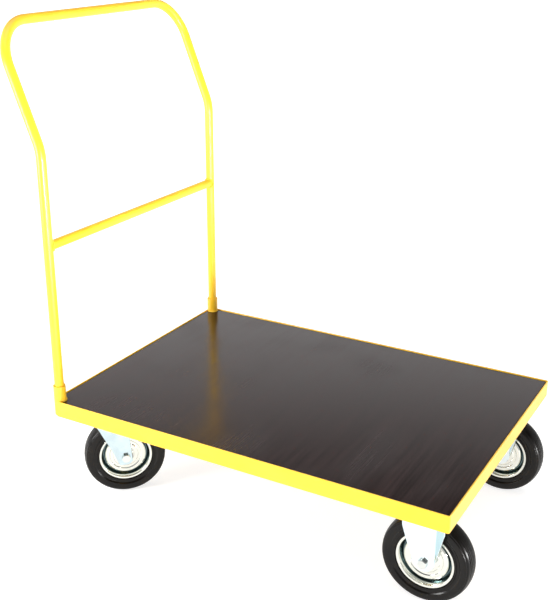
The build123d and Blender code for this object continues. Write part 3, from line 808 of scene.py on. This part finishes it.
def thread(radius, low, high, pitch):
    """Rings of a screw thread: a saw-tooth ridge that climbs one pitch a turn, run out by a
    chamfer at the far end."""
    along = np.linspace(low, high, max(6, int((high - low) / pitch * 8)))[:, None]
    phase = (along / pitch - HEX_TURN / (2 * math.pi)) % 1
    ridge = radius - 0.6 * pitch * abs(2 * phase - 1)
    return list(np.minimum(ridge, radius - 1.2 + (high - along))), list(along + 0 * HEX_TURN)


def bolt(seat, size, length):
    """Hexagon bolt along the side axis: the head's chamfer is a cone, so each flat ends in a
    curve; below it a washer face, the plain shank and the thread."""
    flats, head, shank, pitch = (size[key] for key in ("flats", "head", "radius", "pitch"))
    flat = hex_radius(HEX_TURN, flats)
    crown = 0.475 * flats
    even = 0 * HEX_TURN
    slope = (flat - crown) * math.tan(math.radians(32))
    radius = [even, even + 0.8 * crown, even + crown - 0.15, np.minimum(flat, crown + 0.15), flat]
    along = [even - head, even - head, even - head, even - head + 0.12, slope - head]
    radius += [flat, flat - 0.2, even + 0.46 * flats, even + 0.46 * flats, even + shank + 0.5]
    along += [even - 0.8, even - 0.6, even - 0.6, even, even]
    radius += [even + shank, even + shank]
    along += [even + 0.5, even + length - 4 * pitch]
    ridges, places = thread(shank, length - 4 * pitch, length, pitch)
    return polar(seat, radius + ridges + [even], along + places + [even + length])


def nut(seat, size):
    """Hexagon nut that starts at the seat, chamfered on both faces and at the bore."""
    flats, height, bore = (size[key] for key in ("flats", "nut", "radius"))
    flat = hex_radius(HEX_TURN, flats)
    crown = 0.475 * flats
    even = 0 * HEX_TURN
    slope = (flat - crown) * math.tan(math.radians(32))
    radius = [even + bore + 0.6, even + crown, flat, flat, even + crown, even + bore + 0.6]
    along = [even, even, slope, height - slope, even + height, even + height]
    radius += [even + bore, even + bore]
    along += [even + height - 0.6, even + 0.6]
    return polar(seat, radius, along, wrap_rows=True)


TAGS = [f"{place}_{side}" for place in ("front", "rear") for side in SIDES]


def caster_fasteners():
    """Sixteen M10 bolts up through the casters' plates, and their nuts on the shelf."""
    bolts, nuts = [], []
    for tag in TAGS:
        x, y, z = plate_place(tag)
        for across in (-0.5, 0.5):
            for aside in (-0.5, 0.5):
                seat = Seat((x + across * BOLT_X, y + aside * BOLT_Y, z - PLATE_T)).turned_up()
                grip = PLATE_T + STEEL
                bolts.append(bolt(seat, M10, grip + M10["nut"] + 3.0))
                nuts.append(nut(seat.moved(0, grip, 0), M10))
    piece("caster_bolts_hexagon", bolts, "platform", zinc_bolts, ["caster_bolts"])
    piece("caster_nuts_hexagon", nuts, "platform", zinc_bolts, ["caster_nuts"])


def axle_fasteners():
    """A bolt across each fork, its head on the right and its nut on the left, each turned by
    hand to a stop of its own."""
    outer = FORK_MID + FORK_T / 2
    rolls = dict(zip(TAGS, (28, 11, 3, 19)))
    seats = {tag: axle_seat(tag).rolled(rolls[tag]) for tag in TAGS}
    length = 2 * outer + M12["nut"] + 2.4
    heads = {tag: bolt(seats[tag].moved(0, -outer, 0), M12, length) for tag in TAGS}
    ends = {tag: nut(seats[tag].moved(0, outer, 0), M12) for tag in TAGS}
    for what, made in (("bolt", heads), ("nut", ends)):
        fronts = [made[tag] for tag in TAGS if tag.startswith("front")]
        piece(f"front_axle_{what}s_hexagon", fronts, "platform", zinc_bolts,
              [f"front_axle_{what}s"])
        for side in SIDES:
            tag = f"rear_{side}"
            piece(f"{tag}_axle_{what}_hexagon", [made[tag]], f"{tag}_swivel", zinc_bolts,
                  [f"{tag}_axle_{what}"])


# ---- forks
def soft_ramp(past, bend):
    """Nothing before a fold, the distance past it after, joined by a parabola in the bend."""
    blend = (past + bend) ** 2 / (4 * bend)
    return np.where(past < -bend, 0, np.where(past > bend, past, blend))


def rigid_leg(sign):
    """Middle surface of a rigid fork's leg. Rows climb the outline from its round foot; columns
    run from edge to edge. The metal is flat between two folds and its wings slope outwards."""
    foot = np.linspace(math.radians(8), math.pi / 2, 14)
    foot = np.stack([RIGID_FLAT * np.sin(foot), 5.5 - RIGID_FLAT * np.cos(foot)], 1)
    top = AXLE_DROP - PLATE_T
    rest = rounded([(RIGID_FLAT, 5.5), (29, 22), (37, 50), (45.6, 86), (45.6, 101), (38, 119),
                    (38, top)], [40, 60, 20, 8, 8])
    outline = resampled(np.concatenate([foot[:-1], rest]), 2.2)
    half, height = outline.T[:, :, None]
    x = half * np.linspace(-1, 1, 81)
    out = FORK_MID + math.tan(RIGID_WING) * soft_ramp(abs(x) - RIGID_FLAT, 1.4)
    return np.stack(np.broadcast_arrays(x, sign * out, height), -1)


def plate_slab(seat):
    """Caster's plate: a rounded rectangle with eased edges, its top at the seat."""
    half_x, half_y = PLATE_X / 2, PLATE_Y / 2
    return slab(seat, box_outline((-half_x, -half_y), (half_x, half_y), 8.0), -PLATE_T, 0, 0.7)


def rigid_fork(tag):
    """Plate with two welded legs."""
    seat = axle_seat(tag)
    grids = [plate_slab(seat.moved(0, 0, AXLE_DROP))]
    for sign in SIDES.values():
        leg = rigid_leg(sign)
        grids.append(shell(thick(leg, FORK_T), seat))
        x, y, z = np.moveaxis(leg[-1], -1, 0)
        grids.append(bead(seat(x, y + sign * (FORK_T / 2 + 0.8), z - 0.8), 2.0, 3.4))
    piece(f"{tag}_fork_rigid", grids, "platform", zinc_folded, [f"{tag}_fork"])


def swivel_fork(tag):
    """Swivel fork pressed from one sheet: its section is a bridge with round shoulders, carried
    from the rear edge to the front edge. Each column starts at the side outline's lower edge,
    climbs one leg, turns over the shoulder, crosses the crown and goes down the other leg.
    Behind the fold the legs spread; near the front edge the columns lean to follow it."""
    seat = axle_seat(tag)
    crown = AXLE_DROP - PLATE_T - RACE_GAP - FORK_T / 2
    low = rounded([(-72, 112), (-72, 104), (-62, 84), (-50.5, 59), (-39.5, 36.5), (-28.5, 12.5),
                   (-17, -19.5), (9, -19.5), (15.6, -10)], [3, 30, 60, 60, 60, 9, 9], step=12)
    low = low[1:]
    x_edge = np.concatenate([np.linspace(low[0, 0], -30, 22), np.linspace(-28.5, 15.6, 40)])
    z_edge = np.interp(x_edge, low[:, 0], low[:, 1])
    spread = FORK_MID + math.tan(SWIVEL_SPREAD) * soft_ramp(SWIVEL_FOLD_X - x_edge, 1.6)
    climb = np.linspace(0, 1, 34)[:, None]
    z_leg = z_edge + climb * (crown - SHOULDER_R - z_edge)
    y_leg = spread + 0 * z_leg
    swing = np.linspace(0, math.pi / 2, 9)[1:, None]
    z_turn = crown - SHOULDER_R + SHOULDER_R * np.sin(swing) + 0 * spread
    y_turn = spread - SHOULDER_R * (1 - np.cos(swing))
    cross = np.linspace(1, -1, 13)[1:-1, None]
    y_top = cross * (spread - SHOULDER_R)
    z_top = crown + 0 * y_top
    y = np.concatenate([-y_leg, -y_turn, -y_top, y_turn[::-1], y_leg[::-1]])
    z = np.concatenate([z_leg, z_turn, z_top, z_turn[::-1], z_leg[::-1]])
    lean = np.interp(z, [-10, 29, 52, crown], [0, 3.0, 5.0, 5.6])
    x = x_edge - lean * np.clip((x_edge - SWIVEL_FOLD_X) / 35.6, 0, 1)
    sheet = np.stack(np.broadcast_arrays(x, y, z), -1)
    top = Seat(plate_place(tag)).turned_up()
    cup_z = -PLATE_T - RACE_GAP
    cup = rounded([(20, cup_z + 0.8), (33, cup_z + 0.8), (34.5, cup_z + 4.5)], [2.5])
    grids = [shell(thick(sheet, FORK_T), seat), spun(top, walled(cup, 1.5), 72)]
    piece(f"{tag}_fork_swivel", grids, f"{tag}_swivel", zinc_pressed, [f"{tag}_fork"])


def swivel_plate(tag):
    """Swivel caster's plate with the pressed ring that covers the ball race."""
    top = Seat(plate_place(tag))
    skirt_z = -PLATE_T
    skirt = rounded([(24, skirt_z - 0.6), (36.8, skirt_z - 0.6), (37.6, skirt_z - 7.6)], [2.5])
    grids = [plate_slab(top), spun(top.turned_up(), walled(skirt, 1.5), 72)]
    piece(f"{tag}_top_plate_pressed", grids, "platform", zinc_pressed, [f"{tag}_top_plate"])


# ---- wheels
def tyre(tag):
    """Solid tyre. Its section climbs the sidewall over moulded steps, rounds the shoulder, and
    crosses a crowned tread whose radius drops with a power of the distance from the middle and
    dips in a steep-sided well at each groove."""
    wall = rounded([(61.2, 17.2), (62.4, 19.6), (66.4, 20.0), (67.2, 22.6), (69.6, 22.8),
                    (70.4, 20.9), (76.0, 21.3), (79.5, 24.4), (88.5, 24.9), (92.4, 24.3),
                    (93.2, 22.2), (95.4, 21.8), (96.4, 20.6)],
                   [0.8, 0.7, 0.6, 0.7, 0.7, 3.0, 4.0, 4.0, 0.9, 0.6, 0.5], step=15)
    along = np.linspace(TREAD_HALF, -TREAD_HALF, 235)
    crown = WHEEL_R - CROWN_DROP * (abs(along) / TREAD_HALF) ** 2.6
    wells = sum(np.exp(-(((abs(along) - place) / GROOVE_HALF) ** 6)) for place in GROOVES)
    tread = np.stack([crown - GROOVE_DEPTH * wells, along], 1)
    outline = np.concatenate([wall, tread, (wall * (1, -1))[::-1]])
    piece(f"{tag}_tyre_moulded", [spun(axle_seat(tag), outline, 176)], f"{tag}_wheel", rubber,
          [f"{tag}_tyre"], crease=45)


def ringed(seat, made):
    """The same grid, its UV map holding the distance from the seat's side axis, in metres."""
    points, quads, corners = made
    from_axle = points - seat.origin * MM
    from_axle -= (from_axle @ seat.side)[:, None] * seat.side
    corners[..., 1] = np.linalg.norm(from_axle, axis=1)[quads]
    return points, quads, corners


def rim_disc(tag, side):
    """Pressed disc, as the middle line of its sheet: collar, stepped face, deep well, flared
    wall and lip."""
    seat = axle_seat(tag)
    line = rounded([(17.8, 25.4), (17.8, 17.4), (22.5, 15.2), (29.5, 15.0), (31.5, 13.0),
                    (38.0, 12.8), (40.0, 14.6), (46.4, 14.2), (49.6, 11.6), (51.2, 4.0),
                    (54.2, 4.0), (57.0, 12.0), (60.2, 20.2), (64.0, 20.9)],
                   [2.2, 2.4, 1.6, 1.6, 1.6, 1.6, 2.4, 1.6, 1.2, 1.2, 8.0, 1.6], step=12)
    outline = walled(line, DISC_T) * (1, SIDES[side])
    piece(f"{tag}_rim_disc_{side}_pressed", [ringed(seat, spun(seat, outline, 144))],
          f"{tag}_wheel", zinc_spun, [f"{tag}_rim_disc_{side}"], crease=45)


def hub(tag):
    """Steel tube through both discs, with eased ends."""
    ring = box_outline((HUB_BORE_R, -HUB_HALF), (HUB_R, HUB_HALF), 0.6, step=30)
    piece(f"{tag}_hub_tube", [spun(axle_seat(tag), ring, 72)], f"{tag}_wheel", steel,
          [f"{tag}_hub"])


# ---- the cart
handle_tube()
handle_crossbar()
for side in SIDES:
    handle_socket(side)
    for place in ("front", "rear"):
        corner_plate(place, side)
for name in ("rear", "front", "left", "right"):
    frame_rail(name)
deck_board()
for name in ("rear", "middle", "front"):
    cross_bearer(name)
deck_screws()
caster_fasteners()
axle_fasteners()
for tag in TAGS:
    tyre(tag)
    hub(tag)
    for side in SIDES:
        rim_disc(tag, side)
    if tag.startswith("front"):
        rigid_fork(tag)
    else:
        swivel_fork(tag)
        swivel_plate(tag)
        keep(f"{tag}_king_pin", zinc_bolts)
        keep(f"{tag}_race_balls", steel)
        keep(f"{tag}_axle_sleeve", steel)
    keep(f"{tag}_roller_bearing", steel)
keep("front_axle_sleeves", steel)


# ---- studio
def floor():
    """Pale table of opal plastic, lit from below as well, so that shadows on it stay faint."""
    size = 60.0
    corners = [(-size, -size, 0), (size, -size, 0), (size, size, 0), (-size, size, 0)]
    mesh = bpy.data.meshes.new("studio_floor")
    mesh.from_pydata(corners, [], [(0, 1, 2, 3)])
    material, node, where = new_material("opal_acrylic_table")
    cloud = node("TexNoise", Vector=where["Object"], Scale=per(4), Detail=2.0)
    tone = node("Mix", MIX, in_0=cloud[0], in_6=srgb("C2C2C2"), in_7=srgb("C8C8C8"))
    away = node("VectorMath", {"operation": "LENGTH"}, in_0=where["Object"])
    glow = node("MapRange", {"interpolation_type": "SMOOTHSTEP"}, in_0=away["Value"],
                From_Min=1.0, From_Max=4.0, To_Min=0.76, To_Max=1.0)
    finish_material(node, node("BsdfPrincipled", Base_Color=tone[2], Roughness=0.9,
                               Emission_Color=(1, 1, 1, 1), Emission_Strength=glow[0]))
    mesh.materials.append(material)
    made = bpy.data.objects.new("studio_floor", mesh)
    bpy.context.scene.collection.objects.link(made)


def world():
    """Studio round the cart: pale near the horizon, white on the lit backdrop that stands to the
    rear left, dark above that, and a broad white cloth straight overhead."""
    made = bpy.data.worlds.new("studio")
    bpy.context.scene.world = made
    made.use_nodes = True
    made.node_tree.nodes.clear()
    node = partial(add, made.node_tree)
    ray = node("TexCoord")["Generated"]
    height = node("SeparateXYZ", Vector=ray)["Z"]
    high = node("MapRange", {"interpolation_type": "SMOOTHSTEP"}, Value=height,
                From_Min=0.37, From_Max=0.55)
    facing = node("VectorMath", {"operation": "DOT_PRODUCT"}, in_0=ray,
                  in_1=(-0.46, 0.81, 0.36))
    backdrop = node("MapRange", {"interpolation_type": "SMOOTHSTEP"},
                    in_0=facing["Value"], From_Min=0.5, From_Max=0.85, To_Min=0.62, To_Max=1.25)
    overhead = node("MapRange", {"interpolation_type": "SMOOTHSTEP"}, Value=height,
                    From_Min=0.72, From_Max=0.92, To_Min=0.05, To_Max=1.9)
    tone = node("Mix", MIX, in_0=high[0], in_6=backdrop[0], in_7=overhead[0])
    light = node("Background", Color=tone[2], Strength=1.0)
    node("OutputWorld", Surface=light[0])


def softbox(name, place, aim, size, watts, spread=180):
    """Square lamp behind cloth, facing a point on the cart; place and aim are in metres, and
    spread is how wide its louvres let the light out, in degrees."""
    lamp = bpy.data.lights.new(name, "AREA")
    lamp.energy = watts
    lamp.size = size
    lamp.spread = math.radians(spread)
    made = bpy.data.objects.new(name, lamp)
    back = Vector(place) - Vector(aim)
    turn = back.to_track_quat("Z", "Y").to_matrix().to_4x4()
    made.matrix_world = Matrix.Translation(place) @ turn
    bpy.context.scene.collection.objects.link(made)


def camera():
    """Camera at standing height off the front right corner, looking down along the deck."""
    place = 1.05565, -1.96590, 1.35852
    ahead = unit(np.array([-0.45767, 0.81337, -0.35913]))
    across = unit(np.cross(ahead, (0, 0, 1)))
    above = np.cross(across, ahead)
    roll = math.radians(0.261)
    right = across * math.cos(roll) + above * math.sin(roll)
    up = above * math.cos(roll) - across * math.sin(roll)
    lens = bpy.data.cameras.new("camera")
    lens.lens = 60.43
    lens.sensor_width = 36.0
    lens.clip_end = 200
    made = bpy.data.objects.new("camera", lens)
    turn = Matrix(np.stack([right, up, -ahead], 1).tolist()).to_4x4()
    made.matrix_world = Matrix.Translation(place) @ turn
    bpy.context.scene.collection.objects.link(made)
    bpy.context.scene.camera = made


floor()
world()
softbox("softbox_front", (-1.15, -1.5, 0.75), (-0.45, -0.2, 0.45), 0.6, 26)
softbox("softbox_low_front", (1.9, 0.2, 0.15), (0.5, 0.0, 0.2), 0.22, 12)
softbox("softbox_handle", (2.2, -1.7, 0.15), (-0.5, 0.0, 0.85), 0.22, 4.5, 28)
softbox("softbox_behind", (-2.6, -0.2, 1.6), (-0.2, 0.0, 0.4), 1.2, 14)
camera()
bpy.context.scene.view_settings.view_transform = "Standard"
